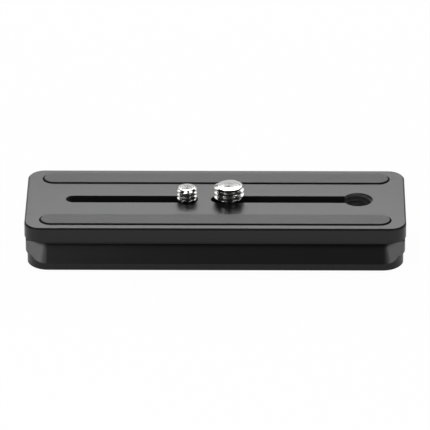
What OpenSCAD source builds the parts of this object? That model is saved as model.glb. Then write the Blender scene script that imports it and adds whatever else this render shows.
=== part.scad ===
/* [Plate] */
// Length of the plate along the clamp
plate_length = 120; // [110:1:160]
// Width of the plate across the clamp
plate_width = 42.8; // [40:0.1:50]
// Thickness of the flange that the camera stands on
flange_thickness = 4.85; // [4.2:0.05:6]
// Corner radius of the flange
flange_corner_radius = 5.2; // [4:0.1:7]
// Bevel round the top edge of the flange
flange_top_bevel = 0.5; // [0.2:0.05:0.8]
// Bevel round the lower edge of the flange
flange_low_bevel = 0.2; // [0.1:0.05:0.4]

/* [Clamping base] */
// Height of the base below the flange
base_height = 10.1; // [9.5:0.1:12]
// Height of the upright edge of the lip
lip_height = 2.3; // [1.6:0.1:2.8]
// How far the lip stands in from the flange
lip_inset = 0.75; // [0.3:0.05:1.2]
// Height at which the ends of the base step out again
end_step_height = 4.25; // [3.5:0.05:5]
// How far each clamping flank leans in
flank_depth = 3.2; // [2.8:0.1:3.4]
// Angle between a clamping flank and the bottom face
flank_angle = 60; // [55:1:62]
// Length of the lead in at each end, where the flanks turn inwards
lead_in_length = 7; // [6:0.1:9]
// Angle at which the lead in turns inwards
lead_in_angle = 20; // [15:1:25]
// Radius of the turn from a flank to its lead in
lead_in_radius = 6.4; // [5:0.1:8]
// Corner radius of the base
base_corner_radius = 7.5; // [6.5:0.1:9]
// Bevel round the bottom edge of the base
base_bevel = 0.3; // [0.15:0.05:0.6]

/* [Slots] */
// Width of both screw slots
slot_width = 4.7; // [4.6:0.05:5.2]
// From an end of the plate to the centre of the nearer slot end
slot_end_margin = 15; // [14.5:0.1:18]
// From the middle of the plate to the entry hole of the small screw
entry_hole_offset = 9.1; // [9:0.1:12]
// From the middle of the plate to the inner end of the other slot
inner_end_offset = 0.85; // [0.2:0.05:1.5]
// From that inner end to where the large screw rests
large_rest_offset = 3.35; // [3.3:0.05:6]
// Bevel along the top edges of the slots
slot_bevel = 0.1; // [0.05:0.05:0.4]
// Thickness of the web that the slots pass through
web_thickness = 4.5; // [4:0.1:5]

/* [Camera screws] */
// Radius of the small screw thread, a quarter inch across
small_thread_radius = 3.175; // [3:0.025:3.3]
// Radius of the large screw thread, three eighths of an inch across
large_thread_radius = 4.7625; // [4.5:0.0125:4.9]
// How far the small screw stands above the flange
small_reach = 4.25; // [3.5:0.05:6]
// How far the large screw stands above the flange
large_reach = 5.15; // [4.5:0.05:6.5]
// Radius of the head of the small screw
small_head_radius = 6; // [5:0.1:6.3]
// Radius of the head of the large screw
large_head_radius = 6.8; // [5.5:0.1:7.1]
// Height of both heads
head_height = 4; // [3:0.1:4.8]
// Radius of the plain neck that runs in the slot
neck_radius = 2.2; // [1.9:0.05:2.3]
// Width of the coin slot across a head
coin_slot_width = 1.8; // [1.2:0.1:2.4]
// Depth of the coin slot
coin_slot_depth = 1.5; // [1:0.1:2]
// Size of the key socket across its flats
key_size = 5; // [4:0.1:6]
// Depth of the key socket
key_depth = 2.6; // [2:0.1:3]
// Thickness of the washer under each head
washer_thickness = 0.5; // [0.3:0.05:0.8]

/* [Grip strips] */
// Width of each rubber strip
strip_width = 6.9; // [5.5:0.1:7.5]
// From an end of the plate to the end of a strip
strip_end_margin = 5; // [4:0.1:10]
// From a long edge of the plate to the strip
strip_edge_margin = 3.05; // [2:0.05:3.5]
// Depth of the recess that holds a strip
recess_depth = 1; // [0.6:0.1:1.5]
// How far a strip stands above the flange
strip_proud = 0.4; // [0.2:0.05:0.8]
// Gap all round a strip in its recess
strip_gap = 0.4; // [0.15:0.05:0.5]
// Rounding along the top edge of a strip
strip_edge_radius = 0.3; // [0.1:0.05:0.4]

/* [Stop screws] */
// Radius of the thread of the two stop screws
stop_radius = 2; // [1.5:0.1:2.2]
// Length of a stop screw
stop_length = 5; // [4:0.1:6]
// From an end of the plate to the centre of a stop screw
stop_margin = 4.2; // [3.8:0.1:4.6]
// How deep a stop screw is sunk below the bottom face
stop_sink = 0.4; // [0.2:0.05:1]
// Size of the key socket of a stop screw
stop_key_size = 2; // [1.5:0.1:2.4]
// Depth of that key socket
stop_key_depth = 2; // [1.5:0.1:2.5]

/* [Hidden] */
$fn = 96;

// Clearances between pieces
overrun = 1;
slide_gap = 0.05;
neck_clearance = 0.08;
head_end_clearance = 0.5;
head_side_clearance = 0.7;
small_thread_lift = 0.15;
large_thread_lift = 0.7;
stop_clearance = 0.05;
stop_hole_spare = 0.6;

// Small bevels of the turned pieces
head_bevel = 0.4;
thread_runout = 0.3;
small_tip_bevel = 0.45;
large_tip_bevel = 0.7;
entry_bevel = 0.35;
pocket_bevel = 0.4;
stop_bevel = 0.3;

// Levels above the bottom face
top_z = base_height + flange_thickness;
ceiling_z = top_z - web_thickness;
washer_z = ceiling_z - slide_gap - washer_thickness;
head_top_z = washer_z - slide_gap;
head_z = head_top_z - head_height;

// Places along the plate
slot_end_x = plate_length / 2 - slot_end_margin;
small_screw_x = -entry_hole_offset;
large_screw_x = inner_end_offset + large_rest_offset;
pocket_width = 2 * (large_head_radius + head_side_clearance);
pocket_end_x = slot_end_x + large_head_radius + head_end_clearance - pocket_width / 2;
stop_x = plate_length / 2 - stop_margin;

// The base stands inside the bevel of the flange and reaches up into it
base_length = plate_length - 2 * flange_low_bevel;
base_width = plate_width - 2 * flange_low_bevel;
base_top_z = base_height + flange_thickness / 2;

// Places across the plate
lip_y = plate_width / 2 - lip_inset;
strip_y = plate_width / 2 - strip_edge_margin - strip_width / 2;
strip_length = plate_length - 2 * strip_end_margin;

// Where the flanks begin to turn inwards, and the centres of those turns
turn_x = plate_length / 2 - lead_in_length;
turn_y = lip_y - lead_in_radius;

body_colour = [0.17, 0.17, 0.18];
rubber_colour = [0.11, 0.11, 0.115];
steel_colour = [0.75, 0.75, 0.74];
nylon_colour = [0.85, 0.84, 0.8];

// Rectangle with round corners, centred
module rounded_outline(length, width, radius) {
    square([length - 2 * radius, width], center = true);
    square([length, width - 2 * radius], center = true);
    for (x = [-1, 1], y = [-1, 1])
        translate([x * (length / 2 - radius), y * (width / 2 - radius)]) circle(r = radius);
}

// Slab with round corners, its sides given by a profile of insets and heights
module profiled_slab(length, width, radius, profile) {
    rotate([90, 0, 0]) linear_extrude(width - 2 * radius, center = true) slab_section(length / 2, profile);
    rotate([90, 0, 90]) linear_extrude(length - 2 * radius, center = true) slab_section(width / 2, profile);
    for (x = [-1, 1], y = [-1, 1])
        translate([x * (length / 2 - radius), y * (width / 2 - radius), 0])
            rotate_extrude() half_section(radius, profile);
}

// Section across that slab
module slab_section(half, profile) {
    last = len(profile) - 1;
    right = [for (p = profile) [half - p[0], p[1]]];
    left = [for (i = [last:-1:0]) [profile[i][0] - half, profile[i][1]]];
    polygon(concat(right, left));
}

// Half of a section, from its middle out to one side
module half_section(half, profile) {
    last = len(profile) - 1;
    side = [for (p = profile) [half - p[0], p[1]]];
    polygon(concat([[0, profile[0][1]]], side, [[0, profile[last][1]]]));
}

// Long hole with round ends between two places along the plate
module long_hole(from_x, to_x, width, height) {
    linear_extrude(height) {
        translate([from_x, -width / 2]) square([to_x - from_x, width]);
        for (x = [from_x, to_x]) translate([x, 0]) circle(r = width / 2);
    }
}

// Bevel that widens a long hole upwards
module long_hole_bevel(from_x, to_x, width, bevel) {
    half = width / 2;
    translate([from_x, 0, 0]) rotate([90, 0, 90]) linear_extrude(to_x - from_x)
        polygon([[-half, 0], [half, 0], [half + bevel, bevel], [-half - bevel, bevel]]);
    for (x = [from_x, to_x]) translate([x, 0, 0]) cylinder(h = bevel, r1 = half, r2 = half + bevel);
}

// What the clamping grooves leave of the base, with flanks that turn inwards at the ends
module flank_core() {
    rise = tan(flank_angle);
    profile = [
        [-overrun, -overrun], [-overrun, lip_height - overrun * rise],
        [flank_depth, lip_height + flank_depth * rise], [flank_depth, top_z]
    ];
    rotate([90, 0, 90]) linear_extrude(2 * turn_x, center = true) slab_section(lip_y, profile);
    translate([-plate_length / 2 - overrun, -turn_y, -overrun])
        cube([plate_length + 2 * overrun, 2 * turn_y, top_z + overrun]);
    for (x = [0, 1], y = [0, 1])
        mirror([x, 0, 0]) mirror([0, y, 0]) translate([turn_x, turn_y, 0]) lead_in(profile);
}

// Turn and straight lead in at one end of a flank
module lead_in(profile) {
    rotate_extrude() half_section(lead_in_radius, profile);
    rotate([0, 0, -lead_in_angle]) rotate([90, 0, 90])
        linear_extrude(2 * lead_in_length) half_section(lead_in_radius, profile);
}

// Base with its lip, flanks and stepped ends
module clamping_base() {
    intersection() {
        union() {
            profiled_slab(
                plate_length - 2 * lip_inset, plate_width - 2 * lip_inset, base_corner_radius - lip_inset,
                [[base_bevel, 0], [0, base_bevel], [0, base_top_z]]
            );
            translate([0, 0, end_step_height]) linear_extrude(base_top_z - end_step_height)
                rounded_outline(base_length, base_width, base_corner_radius);
        }
        flank_core();
    }
}

// Flange that the camera stands on
module flange() {
    translate([0, 0, base_height]) profiled_slab(
        plate_length, plate_width, flange_corner_radius,
        [
            [flange_low_bevel, 0], [0, flange_low_bevel],
            [0, flange_thickness - flange_top_bevel], [flange_top_bevel, flange_thickness]
        ]
    );
}

// Recess for one grip strip
module strip_recess() {
    half = (strip_length - strip_width) / 2;
    translate([0, 0, top_z - recess_depth])
        long_hole(-half, half, strip_width + 2 * strip_gap, recess_depth + overrun);
}

// Both screw slots with the tapped holes that let the screws in
module screw_slots() {
    height = web_thickness + 2 * overrun;
    translate([0, 0, ceiling_z - overrun]) {
        long_hole(-slot_end_x, small_screw_x, slot_width, height);
        long_hole(inner_end_offset, slot_end_x, slot_width, height);
        translate([small_screw_x, 0, 0]) cylinder(h = height, r = small_thread_radius);
        translate([slot_end_x, 0, 0]) cylinder(h = height, r = large_thread_radius);
    }
    translate([0, 0, top_z - slot_bevel]) {
        long_hole_bevel(-slot_end_x, small_screw_x, slot_width, slot_bevel);
        long_hole_bevel(inner_end_offset, slot_end_x, slot_width, slot_bevel);
    }
    translate([small_screw_x, 0, top_z - entry_bevel])
        cylinder(h = entry_bevel, r1 = small_thread_radius, r2 = small_thread_radius + entry_bevel);
}

// Long pocket below the web in which the screw heads travel
module head_pocket() {
    translate([0, 0, -overrun]) long_hole(-pocket_end_x, pocket_end_x, pocket_width, ceiling_z + overrun);
    mirror([0, 0, 1]) translate([0, 0, -pocket_bevel])
        long_hole_bevel(-pocket_end_x, pocket_end_x, pocket_width, pocket_bevel);
}

// Blind tapped hole for a stop screw
module stop_hole() {
    translate([0, 0, -overrun])
        cylinder(h = overrun + stop_sink + stop_length + stop_hole_spare, r = stop_radius + stop_clearance);
}

module plate_body() {
    color(body_colour) difference() {
        union() {
            flange();
            clamping_base();
        }
        screw_slots();
        head_pocket();
        for (y = [-1, 1]) translate([0, y * strip_y, 0]) strip_recess();
        for (x = [-1, 1]) translate([x * stop_x, 0, 0]) stop_hole();
    }
}

// Section of a grip strip with its rounded top edges
module strip_section() {
    height = recess_depth + strip_proud;
    half = strip_width / 2;
    translate([-half, 0]) square([strip_width, height - strip_edge_radius]);
    translate([-half + strip_edge_radius, 0]) square([strip_width - 2 * strip_edge_radius, height]);
    for (x = [-1, 1])
        translate([x * (half - strip_edge_radius), height - strip_edge_radius]) circle(r = strip_edge_radius);
}

// Rubber strip with round ends, side -1 for the front and 1 for the rear
module grip_strip(side) {
    half = (strip_length - strip_width) / 2;
    color(rubber_colour) translate([0, side * strip_y, top_z - recess_depth]) {
        rotate([90, 0, 90]) linear_extrude(2 * half, center = true) strip_section();
        for (x = [-half, half]) translate([x, 0, 0]) rotate_extrude() intersection() {
            strip_section();
            square([strip_width, recess_depth + strip_proud]);
        }
    }
}

module front_grip_strip() {
    grip_strip(-1);
}

module rear_grip_strip() {
    grip_strip(1);
}

// Turned screw with a head, a plain neck and a threaded end above the flange
module camera_screw(thread_radius, reach, head_radius, thread_lift, tip_bevel) {
    thread_z = top_z + thread_lift;
    tip_z = top_z + reach;
    color(steel_colour) difference() {
        rotate_extrude() polygon([
            [0, head_z], [head_radius - head_bevel, head_z], [head_radius, head_z + head_bevel],
            [head_radius, head_top_z - head_bevel], [head_radius - head_bevel, head_top_z],
            [neck_radius, head_top_z], [neck_radius, thread_z], [thread_radius - thread_runout, thread_z],
            [thread_radius, thread_z + thread_runout], [thread_radius, tip_z - tip_bevel],
            [thread_radius - tip_bevel, tip_z], [0, tip_z]
        ]);
        translate([-head_radius - overrun, -coin_slot_width / 2, head_z - overrun])
            cube([2 * (head_radius + overrun), coin_slot_width, coin_slot_depth + overrun]);
        translate([0, 0, head_z - overrun])
            cylinder(h = key_depth + overrun, r = key_size / 2 / cos(30), $fn = 6);
    }
}

// Thin washer between a head and the web
module screw_washer(head_radius) {
    color(nylon_colour) translate([0, 0, washer_z]) difference() {
        cylinder(h = washer_thickness, r = head_radius);
        translate([0, 0, -overrun])
            cylinder(h = washer_thickness + 2 * overrun, r = neck_radius + neck_clearance);
    }
}

module quarter_inch_screw() {
    translate([small_screw_x, 0, 0])
        camera_screw(small_thread_radius, small_reach, small_head_radius, small_thread_lift, small_tip_bevel);
}

module quarter_inch_washer() {
    translate([small_screw_x, 0, 0]) screw_washer(small_head_radius);
}

module three_eighths_screw() {
    translate([large_screw_x, 0, 0])
        camera_screw(large_thread_radius, large_reach, large_head_radius, large_thread_lift, large_tip_bevel);
}

module three_eighths_washer() {
    translate([large_screw_x, 0, 0]) screw_washer(large_head_radius);
}

// Headless screw sunk in the bottom face
module stop_screw(x) {
    color(steel_colour) translate([x, 0, stop_sink]) difference() {
        rotate_extrude() polygon([
            [0, 0], [stop_radius - stop_bevel, 0], [stop_radius, stop_bevel],
            [stop_radius, stop_length - stop_bevel], [stop_radius - stop_bevel, stop_length], [0, stop_length]
        ]);
        translate([0, 0, -overrun])
            cylinder(h = stop_key_depth + overrun, r = stop_key_size / 2 / cos(30), $fn = 6);
    }
}

module left_stop_screw() {
    stop_screw(-stop_x);
}

module right_stop_screw() {
    stop_screw(stop_x);
}

plate_body();
front_grip_strip();
rear_grip_strip();
quarter_inch_screw();
quarter_inch_washer();
three_eighths_screw();
three_eighths_washer();
left_stop_screw();
right_stop_screw();
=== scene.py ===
"""Looks of a long tripod quick release plate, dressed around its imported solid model.

The solids give every form and place. This script gives the finishes, cuts the threads of
the two camera screws and of the large screw's entry hole, and sets up studio and camera.
All lengths are metres, in the frame of the solids: +X along the plate, +Z up.
"""

from __future__ import annotations

import logging
import math
from dataclasses import dataclass, field
from enum import Enum

import bmesh
import bpy
from mathutils import Euler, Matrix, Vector

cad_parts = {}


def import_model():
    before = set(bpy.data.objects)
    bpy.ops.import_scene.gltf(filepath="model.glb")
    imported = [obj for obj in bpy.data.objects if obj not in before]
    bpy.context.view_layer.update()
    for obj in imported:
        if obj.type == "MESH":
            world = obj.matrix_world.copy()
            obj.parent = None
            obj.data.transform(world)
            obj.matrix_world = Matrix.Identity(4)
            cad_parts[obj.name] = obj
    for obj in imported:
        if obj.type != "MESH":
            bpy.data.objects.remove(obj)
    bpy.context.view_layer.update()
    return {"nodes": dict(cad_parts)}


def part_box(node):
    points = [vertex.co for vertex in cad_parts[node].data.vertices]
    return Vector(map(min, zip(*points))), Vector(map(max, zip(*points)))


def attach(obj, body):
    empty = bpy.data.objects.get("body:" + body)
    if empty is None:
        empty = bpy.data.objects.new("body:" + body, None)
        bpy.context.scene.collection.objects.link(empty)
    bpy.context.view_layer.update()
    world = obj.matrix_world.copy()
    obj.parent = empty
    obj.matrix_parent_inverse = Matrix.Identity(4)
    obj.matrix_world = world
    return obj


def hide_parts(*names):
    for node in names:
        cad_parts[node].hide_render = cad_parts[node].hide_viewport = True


LOG = logging.getLogger("release_plate")
MM = 0.001
WELD_DISTANCE = 0.001 * MM

Colour = tuple[float, float, float]


class Slot(Enum):
    """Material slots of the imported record."""

    ALUMINIUM = "anodised_aluminium"
    RUBBER = "rubber"
    STEEL = "stainless_steel"
    NYLON = "nylon"


class ShaderTree:
    """A material's node tree, with short calls to add and join nodes."""

    def __init__(self, name: str) -> None:
        """Starts a new material.

        Args:
            name: Name of the material.
        """
        self.material = bpy.data.materials.new(name)
        self.material.use_nodes = True
        self.tree = self.material.node_tree
        self.tree.nodes.clear()
        self.output = self.tree.nodes.new("ShaderNodeOutputMaterial")
        self.place = self.tree.nodes.new("ShaderNodeTexCoord").outputs["Object"]

    def add(self, kind: str, **values: object) -> bpy.types.Node:
        """Adds a node and sets its inputs or properties.

        Args:
            kind: Blender's type name of the node.
            **values: Input names, with spaces as underscores, or property names.

        Returns:
            The new node.
        """
        node = self.tree.nodes.new(kind)
        for key, value in values.items():
            title = key.replace("_", " ")
            if title in node.inputs:
                node.inputs[title].default_value = value
            else:
                setattr(node, key, value)
        return node

    def join(self, source: bpy.types.NodeSocket, node: bpy.types.Node, title: str | int) -> None:
        """Joins an output to an input of a node.

        Args:
            source: The output.
            node: The node.
            title: Name or number of its input.
        """
        self.tree.links.new(source, node.inputs[title])

    def math(self, operation: str, *terms: object) -> bpy.types.NodeSocket:
        """Adds a math node.

        Args:
            operation: Name of the operation.
            *terms: Sockets or numbers.

        Returns:
            The result's socket.
        """
        node = self.add("ShaderNodeMath", operation=operation)
        for index, term in enumerate(terms):
            if isinstance(term, bpy.types.NodeSocket):
                self.join(term, node, index)
            else:
                node.inputs[index].default_value = term
        return node.outputs[0]

    def noise(self, scale: float, detail: float, roughness: float = 0.5) -> bpy.types.NodeSocket:
        """Adds noise on object coordinates.

        Args:
            scale: Features per metre.
            detail: Octaves.
            roughness: Weight of the finer octaves.

        Returns:
            The noise's value, from 0 to 1.
        """
        node = self.add("ShaderNodeTexNoise", Scale=scale, Detail=detail, Roughness=roughness)
        self.join(self.place, node, "Vector")
        return node.outputs["Fac"]

    def ramp(self, value: bpy.types.NodeSocket, low: float, high: float) -> bpy.types.NodeSocket:
        """Maps a value from 0..1 to low..high.

        Args:
            value: The value to map.
            low: Result at 0.
            high: Result at 1.

        Returns:
            The mapped value.
        """
        node = self.add("ShaderNodeMapRange")
        node.inputs["To Min"].default_value = low
        node.inputs["To Max"].default_value = high
        self.join(value, node, "Value")
        return node.outputs["Result"]

    def blend(
        self, value: bpy.types.NodeSocket, low: Colour, high: Colour | bpy.types.NodeSocket
    ) -> bpy.types.NodeSocket:
        """Mixes two colours by a value.

        Args:
            value: Share of the second colour.
            low: First colour.
            high: Second colour, or the socket that gives it.

        Returns:
            The mixed colour.
        """
        node = self.add("ShaderNodeMix", data_type="RGBA")
        first, second = (socket for socket in node.inputs if socket.type == "RGBA")
        first.default_value = (*low, 1.0)
        if isinstance(high, bpy.types.NodeSocket):
            self.tree.links.new(high, second)
        else:
            second.default_value = (*high, 1.0)
        self.join(value, node, "Factor")
        return next(socket for socket in node.outputs if socket.type == "RGBA")

    def facing_up(self, low: float, high: float) -> bpy.types.NodeSocket:
        """Gives 1 where the surface faces up and 0 on its sides.

        Args:
            low: Upward part of the normal up to which the result is 0.
            high: Upward part of the normal from which it is 1.

        Returns:
            The share, from 0 to 1.
        """
        parts = self.add("ShaderNodeSeparateXYZ")
        self.join(self.add("ShaderNodeTexCoord").outputs["Normal"], parts, 0)
        node = self.add("ShaderNodeMapRange")
        node.inputs["From Min"].default_value = low
        node.inputs["From Max"].default_value = high
        self.join(parts.outputs["Z"], node, "Value")
        return node.outputs["Result"]

    def bump(
        self, height: bpy.types.NodeSocket, strength: float, distance: float
    ) -> bpy.types.NodeSocket:
        """Adds a bump.

        Args:
            height: Height of the surface, from 0 to 1.
            strength: How much of the bump shows.
            distance: Depth of the bump in metres.

        Returns:
            The bumped normal.
        """
        node = self.add("ShaderNodeBump", Strength=strength, Distance=distance)
        self.join(height, node, "Height")
        return node.outputs["Normal"]

    def surface(self, **values: object) -> bpy.types.Node:
        """Adds the principled shader and joins it to the output.

        Args:
            **values: Input names, with spaces as underscores.

        Returns:
            The shader.
        """
        node = self.add("ShaderNodeBsdfPrincipled", **values)
        self.join(node.outputs["BSDF"], self.output, "Surface")
        return node


@dataclass(frozen=True)
class AnodisedFinish:
    """Satin black anodised aluminium, bead blasted before the dye."""

    dark: Colour = (0.005, 0.005, 0.0055)
    light: Colour = (0.008, 0.008, 0.0087)
    roughness: tuple[float, float] = (0.3, 0.36)
    grain_scale: float = 9000.0
    grain_strength: float = 0.12
    grain_depth: float = 0.02 * MM
    cloud_scale: float = 60.0
    index: float = 1.4
    name: str = "anodised_aluminium"

    def build(self) -> bpy.types.Material:
        """Builds the material.

        Returns:
            The material.
        """
        tree = ShaderTree(self.name)
        grain = tree.noise(self.grain_scale, detail=2.0)
        cloud = tree.noise(self.cloud_scale, detail=3.0)
        shader = tree.surface(IOR=self.index)
        tree.join(tree.blend(cloud, self.dark, self.light), shader, "Base Color")
        tree.join(tree.ramp(grain, *self.roughness), shader, "Roughness")
        tree.join(tree.bump(grain, self.grain_strength, self.grain_depth), shader, "Normal")
        return tree.material


@dataclass(frozen=True)
class RubberFinish:
    """Matt black moulded rubber with a fine grain, with painted shade: its sides are painted black
    for the shade in the gap round the strip.
    """

    painted_side_shade: Colour = (0.0, 0.0, 0.0)
    dark: Colour = (0.016, 0.016, 0.0168)
    light: Colour = (0.026, 0.026, 0.027)
    smoothness: tuple[float, float] = (0.42, 0.52)
    shade_to_top: tuple[float, float] = (0.8, 0.99)
    grain_scale: float = 5200.0
    grain_strength: float = 0.35
    grain_depth: float = 0.04 * MM
    cloud_scale: float = 110.0
    index: float = 1.5

    def build(self) -> bpy.types.Material:
        """Builds the material.

        Returns:
            The material.
        """
        tree = ShaderTree("rubber")
        grain = tree.noise(self.grain_scale, detail=3.0, roughness=0.6)
        cloud = tree.noise(self.cloud_scale, detail=2.0)
        shader = tree.surface(IOR=self.index)
        # Painted shade: the colour goes to black where the surface turns from facing up to its
        # sides, standing in for the shade in the gap round the strip.
        colour = tree.blend(cloud, self.dark, self.light)
        top = tree.facing_up(*self.shade_to_top)
        # The same mask leaves the sides fully rough, which is real roughness, not paint.
        tree.join(tree.blend(top, self.painted_side_shade, colour), shader, "Base Color")
        smooth = tree.math("MULTIPLY", top, tree.ramp(grain, *self.smoothness))
        tree.join(tree.math("SUBTRACT", 1.0, smooth), shader, "Roughness")
        tree.join(tree.bump(grain, self.grain_strength, self.grain_depth), shader, "Normal")
        return tree.material


@dataclass(frozen=True)
class TurnedSteelFinish:
    """Bright stainless steel with turning marks round one axis."""

    axis_x: float = 0.0
    name: str = "turned_steel"
    colour: Colour = (0.52, 0.515, 0.505)
    roughness: tuple[float, float] = (0.1, 0.16)
    stretch: float = 0.45
    mark_scale: float = 260.0
    mark_strength: float = 0.12
    mark_depth: float = 0.006 * MM
    smear_scale: float = 700.0

    def build(self) -> bpy.types.Material:
        """Builds the material.

        Returns:
            The material.
        """
        tree = ShaderTree(self.name)
        centre = tree.add("ShaderNodeMapping")
        centre.inputs["Location"].default_value = (-self.axis_x, 0.0, 0.0)
        tree.join(tree.place, centre, "Vector")
        rings = tree.add(
            "ShaderNodeTexWave",
            wave_type="RINGS",
            rings_direction="Z",
            Scale=self.mark_scale,
            Distortion=1.2,
            Detail=2.0,
        )
        tree.join(centre.outputs["Vector"], rings, "Vector")
        smear = tree.noise(self.smear_scale, detail=3.0)
        shader = tree.surface(Metallic=1.0, Anisotropic=self.stretch)
        shader.inputs["Base Color"].default_value = (*self.colour, 1.0)
        tangent = tree.add("ShaderNodeTangent", direction_type="RADIAL", axis="Z")
        tree.join(tangent.outputs["Tangent"], shader, "Tangent")
        tree.join(tree.ramp(smear, *self.roughness), shader, "Roughness")
        marks = tree.bump(rings.outputs["Fac"], self.mark_strength, self.mark_depth)
        tree.join(marks, shader, "Normal")
        return tree.material


@dataclass(frozen=True)
class NylonFinish:
    """Natural moulded nylon."""

    dark: Colour = (0.62, 0.6, 0.54)
    light: Colour = (0.7, 0.68, 0.62)
    roughness: float = 0.45
    cloud_scale: float = 300.0
    cloud_strength: float = 0.1
    cloud_depth: float = 0.03 * MM

    def build(self) -> bpy.types.Material:
        """Builds the material.

        Returns:
            The material.
        """
        tree = ShaderTree("nylon")
        cloud = tree.noise(self.cloud_scale, detail=3.0)
        shader = tree.surface(Roughness=self.roughness)
        tree.join(tree.blend(cloud, self.dark, self.light), shader, "Base Color")
        tree.join(tree.bump(cloud, self.cloud_strength, self.cloud_depth), shader, "Normal")
        return tree.material


class GeometryTree:
    """A Geometry Nodes tree with named inputs, built and applied in one go."""

    def __init__(self, name: str, inputs: dict[str, float]) -> None:
        """Starts a tree.

        Args:
            name: Name of the tree.
            inputs: Named inputs and their values.
        """
        self.inputs = inputs
        self.tree = bpy.data.node_groups.new(name, "GeometryNodeTree")
        face = self.tree.interface
        face.new_socket("Geometry", in_out="OUTPUT", socket_type="NodeSocketGeometry")
        self.identifiers = {
            title: face.new_socket(title, in_out="INPUT", socket_type="NodeSocketFloat").identifier
            for title in inputs
        }
        self.source = self.tree.nodes.new("NodeGroupInput")
        self.result = self.tree.nodes.new("NodeGroupOutput")

    def value(self, title: str) -> bpy.types.NodeSocket:
        """Gives the socket of a named input.

        Args:
            title: Name of the input.

        Returns:
            The socket.
        """
        return self.source.outputs[title]

    def add(
        self, kind: str, links: dict[str | int, object] | None = None, **properties: object
    ) -> bpy.types.Node:
        """Adds a node, sets its properties, and joins or sets its inputs.

        Args:
            kind: Blender's type name of the node.
            links: Input names or numbers, each with a socket or a plain value.
            **properties: Properties of the node.

        Returns:
            The new node.
        """
        node = self.tree.nodes.new(kind)
        for key, value in properties.items():
            setattr(node, key, value)
        for title, value in (links or {}).items():
            if isinstance(value, bpy.types.NodeSocket):
                self.tree.links.new(value, node.inputs[title])
            else:
                node.inputs[title].default_value = value
        return node

    def math(self, operation: str, *terms: object) -> bpy.types.NodeSocket:
        """Adds a math node.

        Args:
            operation: Name of the operation.
            *terms: Sockets or numbers.

        Returns:
            The result's socket.
        """
        node = self.add("ShaderNodeMath", dict(enumerate(terms)), operation=operation)
        return node.outputs[0]

    def clamped(self, value: bpy.types.NodeSocket) -> bpy.types.NodeSocket:
        """Limits a value to 0..1.

        Args:
            value: The value.

        Returns:
            The limited value.
        """
        return self.add("ShaderNodeClamp", {"Value": value}).outputs[0]

    def grid(
        self, columns: int, rows: int
    ) -> tuple[bpy.types.NodeSocket, bpy.types.NodeSocket, bpy.types.NodeSocket]:
        """Adds a flat grid that runs from -0.5 to 0.5 both ways.

        Args:
            columns: Points along X.
            rows: Points along Y.

        Returns:
            The grid, and the X and the Y of its points.
        """
        sizes = {"Size X": 1.0, "Size Y": 1.0, "Vertices X": columns, "Vertices Y": rows}
        mesh = self.add("GeometryNodeMeshGrid", sizes)
        position = self.add("GeometryNodeInputPosition")
        point = self.add("ShaderNodeSeparateXYZ", {0: position.outputs[0]})
        return mesh.outputs["Mesh"], point.outputs["X"], point.outputs["Y"]

    def finish(self, geometry: bpy.types.NodeSocket, material: bpy.types.Material) -> None:
        """Ends the tree in Realize Instances and Set Material.

        Args:
            geometry: The finished shape.
            material: Its material.
        """
        whole = self.add("GeometryNodeRealizeInstances", {"Geometry": geometry})
        dressed = self.add("GeometryNodeSetMaterial", {"Geometry": whole.outputs[0]})
        dressed.inputs["Material"].default_value = material
        self.tree.links.new(dressed.outputs[0], self.result.inputs["Geometry"])

    def make(self, name: str) -> bpy.types.Mesh:
        """Runs the tree and gives its result as a plain mesh.

        Args:
            name: Name of the mesh.

        Returns:
            The mesh, with no modifier left.
        """
        holder = bpy.data.objects.new(f"{name}_holder", bpy.data.meshes.new(name))
        bpy.context.scene.collection.objects.link(holder)
        modifier = holder.modifiers.new("shape", "NODES")
        modifier.node_group = self.tree
        for title, value in self.inputs.items():
            modifier[self.identifiers[title]] = value
        evaluated = holder.evaluated_get(bpy.context.evaluated_depsgraph_get())
        mesh = bpy.data.meshes.new_from_object(evaluated)
        mesh.name = name
        holder.modifiers.remove(modifier)
        bpy.data.objects.remove(holder)
        return mesh


def link_piece(
    name: str, mesh: bpy.types.Mesh, smooth_angle: float = 32.0
) -> bpy.types.Object:
    """Makes an object of a mesh, with smooth faces and sharp edges.

    Args:
        name: Name of the object.
        mesh: Its mesh, in place.
        smooth_angle: Edges sharper than this many degrees stay sharp.

    Returns:
        The object, at the origin.
    """
    mesh.shade_smooth()
    mesh.set_sharp_from_angle(angle=math.radians(smooth_angle))
    piece = bpy.data.objects.new(name, mesh)
    bpy.context.scene.collection.objects.link(piece)
    return piece


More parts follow.
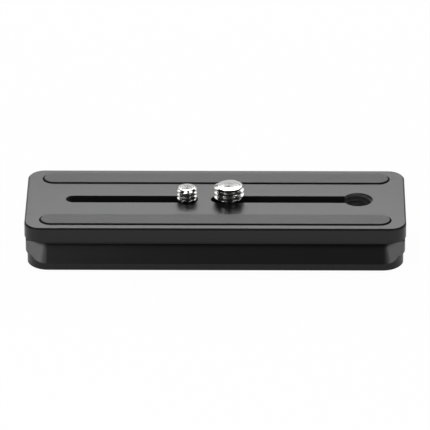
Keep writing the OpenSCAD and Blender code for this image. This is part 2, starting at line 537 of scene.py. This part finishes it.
@dataclass(frozen=True)
class ThreadForm:
    """A unified inch thread on a stud, cut between two levels."""

    axis_x: float
    crest_radius: float
    pitch: float
    low_z: float
    high_z: float
    low_bevel: float
    high_bevel: float
    turn: float
    depth_share: float = 0.613
    crest_share: float = 0.125
    groove_share: float = 0.75
    cap_share: float = 0.06
    crown: float = 0.0
    crown_power: float = 4.0
    sides: int = 144
    rows: int = 170

    @property
    def depth(self) -> float:
        """Depth of the thread."""
        return self.depth_share * self.pitch

    def build(self, name: str, material: bpy.types.Material) -> bpy.types.Mesh:
        """Builds the threaded end as one closed shell.

        Args:
            name: Name of the mesh.
            material: Its material.

        Returns:
            The mesh.
        """
        tree = self._start(
            name,
            {
                "Root Radius": self.crest_radius - self.depth,
                "Cap Share": self.cap_share,
                "Crown": self.crown,
            },
        )
        grid, across, along = tree.grid(self.sides + 1, self.rows)
        across = tree.math("ADD", across, 0.5)
        along = tree.math("ADD", along, 0.5)
        cap = tree.value("Cap Share")
        wall_share = tree.math("SUBTRACT", 1.0, tree.math("MULTIPLY", 2.0, cap))
        past_cap = tree.math("SUBTRACT", along, cap)
        wall = tree.clamped(tree.math("DIVIDE", past_cap, wall_share))
        low_cap = tree.clamped(tree.math("DIVIDE", along, cap))
        high_cap = tree.clamped(tree.math("DIVIDE", tree.math("SUBTRACT", 1.0, along), cap))
        height = self._level(tree, wall)
        ridge = tree.math("MULTIPLY", self._ridge(tree, across, height), tree.value("Depth"))
        radius = tree.math("ADD", tree.value("Root Radius"), ridge)
        radius = tree.math("MULTIPLY", radius, tree.math("MULTIPLY", low_cap, high_cap))
        dome = tree.math("SUBTRACT", 1.0, tree.math("POWER", high_cap, self.crown_power))
        height = tree.math("ADD", height, tree.math("MULTIPLY", dome, tree.value("Crown")))
        self._roll(tree, grid, (radius, across, height), material)
        return tree.make(name)

    def _start(self, name: str, inputs: dict[str, float]) -> GeometryTree:
        """Starts a tree with the inputs that every thread has.

        Args:
            name: Name of the tree.
            inputs: Its further inputs.

        Returns:
            The tree.
        """
        shared = {
            "Axis X": self.axis_x,
            "Depth": self.depth,
            "Pitch": self.pitch,
            "Low Z": self.low_z,
            "High Z": self.high_z,
            "Low Bevel": self.low_bevel,
            "High Bevel": self.high_bevel,
            "Turn": self.turn,
        }
        return GeometryTree(name, shared | inputs)

    @staticmethod
    def _level(tree: GeometryTree, share: bpy.types.NodeSocket) -> bpy.types.NodeSocket:
        """Gives the height at a share of the way from the low to the high level.

        Args:
            tree: The tree being built.
            share: Share of the way, from 0 to 1.

        Returns:
            The height.
        """
        length = tree.math("SUBTRACT", tree.value("High Z"), tree.value("Low Z"))
        return tree.math("ADD", tree.value("Low Z"), tree.math("MULTIPLY", share, length))

    def _ridge(
        self, tree: GeometryTree, across: bpy.types.NodeSocket, height: bpy.types.NodeSocket
    ) -> bpy.types.NodeSocket:
        """Gives the height of the ridge, from 0 in the groove to 1 on the crest.

        Args:
            tree: The tree being built.
            across: Turns round the axis.
            height: Level along the axis.

        Returns:
            The ridge's height, less where the bevels cut it.
        """
        from_low = tree.math("SUBTRACT", height, tree.value("Low Z"))
        from_top = tree.math("SUBTRACT", tree.value("High Z"), height)
        turns = tree.math("DIVIDE", from_low, tree.value("Pitch"))
        started = tree.math("SUBTRACT", turns, tree.value("Turn"))
        phase = tree.math("FRACT", tree.math("SUBTRACT", started, across))
        swing = tree.math("SUBTRACT", tree.math("MULTIPLY", phase, 2.0), 1.0)
        into_groove = tree.math("SUBTRACT", self.groove_share, tree.math("ABSOLUTE", swing))
        flank = tree.math("DIVIDE", into_groove, self.groove_share - self.crest_share)
        top_cut = self._bevel_cut(tree, tree.value("High Bevel"), from_top)
        low_cut = self._bevel_cut(tree, tree.value("Low Bevel"), from_low)
        return tree.clamped(tree.math("MINIMUM", flank, tree.math("MINIMUM", top_cut, low_cut)))

    @staticmethod
    def _bevel_cut(
        tree: GeometryTree, bevel: bpy.types.NodeSocket, distance: bpy.types.NodeSocket
    ) -> bpy.types.NodeSocket:
        """Gives the ridge height that a 45 degree bevel leaves near an end.

        Args:
            tree: The tree being built.
            bevel: Depth of the bevel at the end.
            distance: Distance from the end.

        Returns:
            The height, 1 where the ridge is whole.
        """
        missing = tree.math("SUBTRACT", bevel, distance)
        return tree.math("SUBTRACT", 1.0, tree.math("DIVIDE", missing, tree.value("Depth")))

    @staticmethod
    def _roll(
        tree: GeometryTree,
        grid: bpy.types.NodeSocket,
        place: tuple[bpy.types.NodeSocket, bpy.types.NodeSocket, bpy.types.NodeSocket],
        material: bpy.types.Material,
    ) -> None:
        """Rolls the grid round the axis, welds its seams and ends the tree.

        Args:
            tree: The tree being built.
            grid: The flat grid.
            place: Radius, turns round the axis and level of each point.
            material: Material of the shell.
        """
        radius, turns, height = place
        angle = tree.math("MULTIPLY", turns, math.tau)
        off_axis = tree.math("MULTIPLY", radius, tree.math("COSINE", angle))
        x = tree.math("ADD", tree.value("Axis X"), off_axis)
        y = tree.math("MULTIPLY", radius, tree.math("SINE", angle))
        target = tree.add("ShaderNodeCombineXYZ", {"X": x, "Y": y, "Z": height})
        placed = tree.add(
            "GeometryNodeSetPosition", {"Geometry": grid, "Position": target.outputs[0]}
        )
        closed = tree.add(
            "GeometryNodeMergeByDistance",
            {"Geometry": placed.outputs[0], "Distance": WELD_DISTANCE},
        )
        tree.finish(closed.outputs[0], material)


@dataclass(frozen=True)
class TappedThread(ThreadForm):
    """Thread ridges in the wall of a tapped hole that a slot opens on its left."""

    opening: float = 4.7 * MM
    hole_gap: float = 0.01 * MM
    depth_share: float = 0.4
    groove_share: float = 0.45
    sides: int = 120
    rows: int = 160

    def build(self, name: str, material: bpy.types.Material) -> bpy.types.Mesh:
        """Builds the ridges as one closed shell, cut off where the slot opens.

        The grid's lower half becomes the shell's outer wall, from the top down, and its
        upper half the ridged inner wall, from the bottom up. The two meet at the grid's
        middle row, at its outer rows and in its first and last column.

        Args:
            name: Name of the mesh.
            material: Its material.

        Returns:
            The mesh.
        """
        half_opening = math.asin(self.opening / 2.0 / self.crest_radius) / math.tau
        tree = self._start(
            name,
            {
                "Hole Radius": self.crest_radius - self.hole_gap,
                "Half Opening": half_opening,
            },
        )
        grid, across, along = tree.grid(self.sides + 1, self.rows + 1)
        column, row = 1.0 / self.sides, 1.0 / self.rows
        off_ends = tree.math("SUBTRACT", 0.5, tree.math("ABSOLUTE", across))
        present = tree.clamped(tree.math("MULTIPLY", off_ends, float(self.sides)))
        swept = tree.math("SUBTRACT", tree.math("ADD", across, 0.5), column)
        swept = tree.clamped(tree.math("DIVIDE", swept, 1.0 - 2.0 * column))
        arc = tree.math("SUBTRACT", 1.0, tree.math("MULTIPLY", 2.0, tree.value("Half Opening")))
        turns = tree.math("MULTIPLY", tree.math("SUBTRACT", swept, 0.5), arc)
        above_middle = tree.clamped(tree.math("MULTIPLY", along, float(self.rows)))
        below_top = tree.math("SUBTRACT", 0.5, along)
        below_top = tree.clamped(tree.math("MULTIPLY", below_top, float(self.rows)))
        inner = tree.math("MULTIPLY", tree.math("MULTIPLY", above_middle, below_top), present)
        off_middle = tree.math("MULTIPLY", tree.math("ABSOLUTE", along), 2.0)
        wall = tree.math("SUBTRACT", off_middle, 2.0 * row)
        wall = tree.clamped(tree.math("DIVIDE", wall, 1.0 - 4.0 * row))
        height = self._level(tree, wall)
        ridge = tree.math("MULTIPLY", self._ridge(tree, turns, height), tree.value("Depth"))
        inward = tree.math("MULTIPLY", tree.math("ADD", ridge, self.hole_gap), inner)
        radius = tree.math("SUBTRACT", tree.value("Hole Radius"), inward)
        self._roll(tree, grid, (radius, turns, height), material)
        return tree.make(name)


@dataclass(frozen=True)
class CameraScrew:
    """A captive camera screw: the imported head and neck, with a cut thread above.

    The thread is placed like the photograph's by its turn, a share of a whole turn.
    """

    node: str
    body: str
    axis_x: float
    thread_radius: float
    pitch: float
    low_z: float
    tip_bevel: float
    crown: float
    turn: float
    runout: float = 0.3 * MM
    neck_tuck: float = 0.1 * MM

    def build(self) -> bpy.types.Object:
        """Builds the screw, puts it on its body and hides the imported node.

        Returns:
            The screw.
        """
        finish = TurnedSteelFinish(axis_x=self.axis_x, name=f"{self.node}_steel").build()
        form = ThreadForm(
            axis_x=self.axis_x,
            crest_radius=self.thread_radius,
            pitch=self.pitch,
            low_z=self.low_z,
            high_z=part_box(self.node)[1][2] - self.crown,
            low_bevel=self.runout,
            high_bevel=self.tip_bevel,
            turn=self.turn,
            crown=self.crown,
        )
        thread = form.build(f"{self.node}_thread", finish)
        mesh = self._head_and_neck()
        whole = bmesh.new()
        whole.from_mesh(mesh)
        whole.from_mesh(thread)
        bmesh.ops.recalc_face_normals(whole, faces=whole.faces)
        whole.to_mesh(mesh)
        whole.free()
        mesh.materials.clear()
        mesh.materials.append(finish)
        for face in mesh.polygons:
            face.material_index = 0
        piece = link_piece(f"{self.node}_cut", mesh)
        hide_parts(self.node)
        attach(piece, self.body)
        LOG.info("%s: %d faces", piece.name, len(mesh.polygons))
        return piece

    def _head_and_neck(self) -> bpy.types.Mesh:
        """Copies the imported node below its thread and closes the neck.

        Returns:
            The mesh, with the neck's end tucked into the thread.
        """
        source = bpy.data.objects[self.node].data
        shape = bmesh.new()
        shape.from_mesh(source)
        bmesh.ops.remove_doubles(shape, verts=shape.verts, dist=WELD_DISTANCE)
        cut = bmesh.ops.bisect_plane(
            shape,
            geom=[*shape.verts, *shape.edges, *shape.faces],
            plane_co=(0.0, 0.0, self.low_z - self.neck_tuck / 2.0),
            plane_no=(0.0, 0.0, 1.0),
            clear_outer=True,
        )
        rim = [edge for edge in cut["geom_cut"] if isinstance(edge, bmesh.types.BMEdge)]
        cap = bmesh.ops.edgenet_fill(shape, edges=rim)
        for vert in {v for face in cap["faces"] for v in face.verts}:
            vert.co.z = self.low_z + self.neck_tuck
        mesh = bpy.data.meshes.new(f"{self.node}_cut")
        shape.to_mesh(mesh)
        shape.free()
        return mesh


def direction(azimuth: float, elevation: float) -> Vector:
    """Gives the unit vector that points from the plate in a direction.

    Args:
        azimuth: Degrees from the front, which is -Y, towards +X.
        elevation: Degrees up from the floor.

    Returns:
        The vector.
    """
    turn, tilt = math.radians(azimuth), math.radians(elevation)
    level = math.cos(tilt)
    return Vector((math.sin(turn) * level, -math.cos(turn) * level, math.sin(tilt)))


@dataclass(frozen=True)
class Softbox:
    """A rectangular lamp that faces the plate, placed by its direction."""

    name: str
    azimuth: float
    elevation: float
    width: float
    height: float
    radiance: float
    distance: float = 0.9

    def hang(self) -> bpy.types.Object:
        """Hangs the lamp.

        Returns:
            The lamp's object.
        """
        place = direction(self.azimuth, self.elevation)
        data = bpy.data.lights.new(self.name, "AREA")
        data.shape = "RECTANGLE"
        data.size, data.size_y = self.width, self.height
        data.energy = self.radiance * math.pi * self.width * self.height
        lamp = bpy.data.objects.new(self.name, data)
        lamp.location = place * self.distance
        lamp.rotation_euler = (-place).to_track_quat("-Z", "Y").to_euler()
        bpy.context.scene.collection.objects.link(lamp)
        return lamp


@dataclass
class Studio:
    """White floor and backdrop, lamps and camera.

    The camera's angles are in degrees, its sensor and lens in Blender's millimetres.
    """

    elevation: float = 26.0
    azimuth: float = 0.62
    roll: float = -0.138
    distance: float = 1.75
    centre: tuple[float, float, float] = (-0.234 * MM, 0.0, 9.42 * MM)
    pixel: float = 0.3171 * MM
    frame_pixels: float = 430.0
    sensor_mm: float = 36.0
    clip_end: float = 10.0
    floor_half: float = 1.5
    floor_drop: float = 0.05 * MM
    floor_colour: Colour = (0.9, 0.9, 0.9)
    seen_white: float = 0.97
    mirrored_white: float = 0.4
    room: float = 0.01
    lamps: tuple[Softbox, ...] = (
        Softbox("rear_middle", 180.0, 40.0, 0.42, 0.3, 8.2),
        Softbox("rear_low", 180.0, 18.0, 1.0, 0.27, 0.95),
        Softbox("rear_left", -147.0, 30.0, 0.2, 0.4, 2.0),
        Softbox("rear_right", 147.0, 30.0, 0.2, 0.4, 2.0),
        Softbox("over_left", -118.0, 74.0, 0.2, 0.2, 6.0),
        Softbox("over_right", 118.0, 74.0, 0.2, 0.2, 6.0),
        Softbox("near_left", -46.0, 33.0, 0.16, 0.16, 12.4, distance=0.55),
        Softbox("near_right", 46.0, 33.0, 0.16, 0.16, 9.6, distance=0.55),
        Softbox("inner_left", -24.0, 34.0, 0.1, 0.14, 3.3, distance=0.5),
        Softbox("strip_left", -110.0, 6.5, 0.75, 0.16, 7.0),
        Softbox("strip_right", 110.0, 6.5, 0.75, 0.16, 7.0),
    )

    def build(self) -> None:
        """Builds the whole studio."""
        self._camera()
        self._floor()
        self._world()
        for lamp in self.lamps:
            lamp.hang()
        bpy.context.scene.view_settings.view_transform = "Standard"

    def _camera(self) -> None:
        """Puts the camera at the photograph's angle and scale."""
        data = bpy.data.cameras.new("camera")
        data.sensor_width = self.sensor_mm
        data.lens = self.sensor_mm * self.distance / (self.frame_pixels * self.pixel)
        data.clip_end = self.clip_end
        camera = bpy.data.objects.new("camera", data)
        offset = direction(self.azimuth, self.elevation) * self.distance
        camera.location = Vector(self.centre) + offset
        pitch, turn = math.radians(90.0 - self.elevation), math.radians(self.azimuth)
        aim = Euler((pitch, 0.0, turn)).to_matrix()
        twist = Euler((0.0, 0.0, math.radians(self.roll))).to_matrix()
        camera.rotation_euler = (aim @ twist).to_euler()
        bpy.context.scene.collection.objects.link(camera)
        bpy.context.scene.camera = camera

    def _floor(self) -> None:
        """Lays a pale floor that is white to the camera and keeps a soft shadow."""
        tree = ShaderTree("pale_floor")
        diffuse = tree.add("ShaderNodeBsdfDiffuse")
        diffuse.inputs["Color"].default_value = (*self.floor_colour, 1.0)
        glow = tree.add("ShaderNodeEmission", Strength=1.0)
        path = tree.add("ShaderNodeLightPath").outputs
        mirrored = tree.math("MAXIMUM", path["Is Glossy Ray"], path["Is Transmission Ray"])
        seen = tree.math("MULTIPLY", path["Is Camera Ray"], self.seen_white)
        share = tree.math("MULTIPLY_ADD", mirrored, self.mirrored_white, seen)
        mix = tree.add("ShaderNodeMixShader")
        for index, source in enumerate((share, diffuse.outputs[0], glow.outputs[0])):
            tree.join(source, mix, index)
        tree.join(mix.outputs[0], tree.output, "Surface")
        half = self.floor_half
        sides = ((-half, -half), (half, -half), (half, half), (-half, half))
        mesh = bpy.data.meshes.new("floor")
        mesh.from_pydata([(x, y, -self.floor_drop) for x, y in sides], [], [(0, 1, 2, 3)])
        mesh.materials.append(tree.material)
        floor = bpy.data.objects.new("floor", mesh)
        bpy.context.scene.collection.objects.link(floor)

    def _world(self) -> None:
        """Sets a backdrop that is white to the camera, over a dim room."""
        world = bpy.data.worlds.new("studio")
        world.use_nodes = True
        tree = world.node_tree
        tree.nodes.clear()
        path = tree.nodes.new("ShaderNodeLightPath")
        room = tree.nodes.new("ShaderNodeBackground")
        room.inputs["Color"].default_value = (self.room, self.room, self.room, 1.0)
        white = tree.nodes.new("ShaderNodeBackground")
        white.inputs["Color"].default_value = (1.0, 1.0, 1.0, 1.0)
        mix = tree.nodes.new("ShaderNodeMixShader")
        output = tree.nodes.new("ShaderNodeOutputWorld")
        sources = (path.outputs["Is Camera Ray"], room.outputs[0], white.outputs[0])
        for index, source in enumerate(sources):
            tree.links.new(source, mix.inputs[index])
        tree.links.new(mix.outputs[0], output.inputs["Surface"])
        bpy.context.scene.world = world


@dataclass
class ReleasePlate:
    """The whole plate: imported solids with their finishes, and the cut threads."""

    nodes: dict[str, bpy.types.Object] = field(default_factory=dict)
    plate: str = "plate"
    screws: tuple[CameraScrew, ...] = (
        CameraScrew(
            node="quarter_inch_screw",
            body="quarter_inch_turner",
            axis_x=-9.1 * MM,
            thread_radius=3.175 * MM,
            pitch=1.27 * MM,
            low_z=15.1 * MM,
            tip_bevel=0.45 * MM,
            crown=0.04 * MM,
            turn=0.354,
        ),
        CameraScrew(
            node="three_eighths_screw",
            body="three_eighths_turner",
            axis_x=4.2 * MM,
            thread_radius=4.7625 * MM,
            pitch=1.5875 * MM,
            low_z=15.65 * MM,
            tip_bevel=0.55 * MM,
            crown=0.18 * MM,
            turn=0.246,
        ),
    )
    entry_hole: TappedThread = TappedThread(
        axis_x=45.0 * MM,
        crest_radius=4.7625 * MM,
        pitch=1.5875 * MM,
        low_z=10.5 * MM,
        high_z=14.9 * MM,
        low_bevel=0.3 * MM,
        high_bevel=0.9 * MM,
        turn=0.55,
    )
    tapped_finish: AnodisedFinish = AnodisedFinish(
        dark=(0.03, 0.03, 0.03), light=(0.045, 0.045, 0.046), name="tapped_aluminium"
    )

    def build(self) -> None:
        """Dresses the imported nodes, builds the screws and taps the entry hole."""
        self._dress(("plate_body",), AnodisedFinish().build())
        self._dress(("front_grip_strip", "rear_grip_strip"), RubberFinish().build())
        self._dress(("quarter_inch_washer", "three_eighths_washer"), NylonFinish().build())
        self._dress(("left_stop_screw", "right_stop_screw"), TurnedSteelFinish().build())
        for screw in self.screws:
            screw.build()
        self._tap_hole("entry_hole_thread")

    def _tap_hole(self, name: str) -> bpy.types.Object:
        """Cuts the thread of the entry hole, where the tap has gone through the dye.

        Args:
            name: Name of the piece.

        Returns:
            The piece.
        """
        mesh = self.entry_hole.build(name, self.tapped_finish.build())
        shape = bmesh.new()
        shape.from_mesh(mesh)
        bmesh.ops.recalc_face_normals(shape, faces=shape.faces)
        open_edges = sum(not edge.is_manifold for edge in shape.edges)
        shape.to_mesh(mesh)
        shape.free()
        LOG.info("%s: %d open edges", name, open_edges)
        piece = link_piece(name, mesh)
        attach(piece, self.plate)
        return piece

    def _dress(self, names: tuple[str, ...], material: bpy.types.Material) -> None:
        """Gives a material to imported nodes.

        Args:
            names: Names of the nodes.
            material: The material.
        """
        for name in names:
            mesh = self.nodes[name].data
            if not mesh.materials:
                mesh.materials.append(material)
            for index in range(len(mesh.materials)):
                mesh.materials[index] = material
            LOG.info("%s: %s", name, material.name)


def main() -> None:
    """Loads the frame, builds the plate and the studio."""
    logging.basicConfig(level=logging.INFO, format="%(name)s: %(message)s")
    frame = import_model()
    ReleasePlate(frame["nodes"]).build()
    Studio().build()


if __name__ == "__main__":
    main()
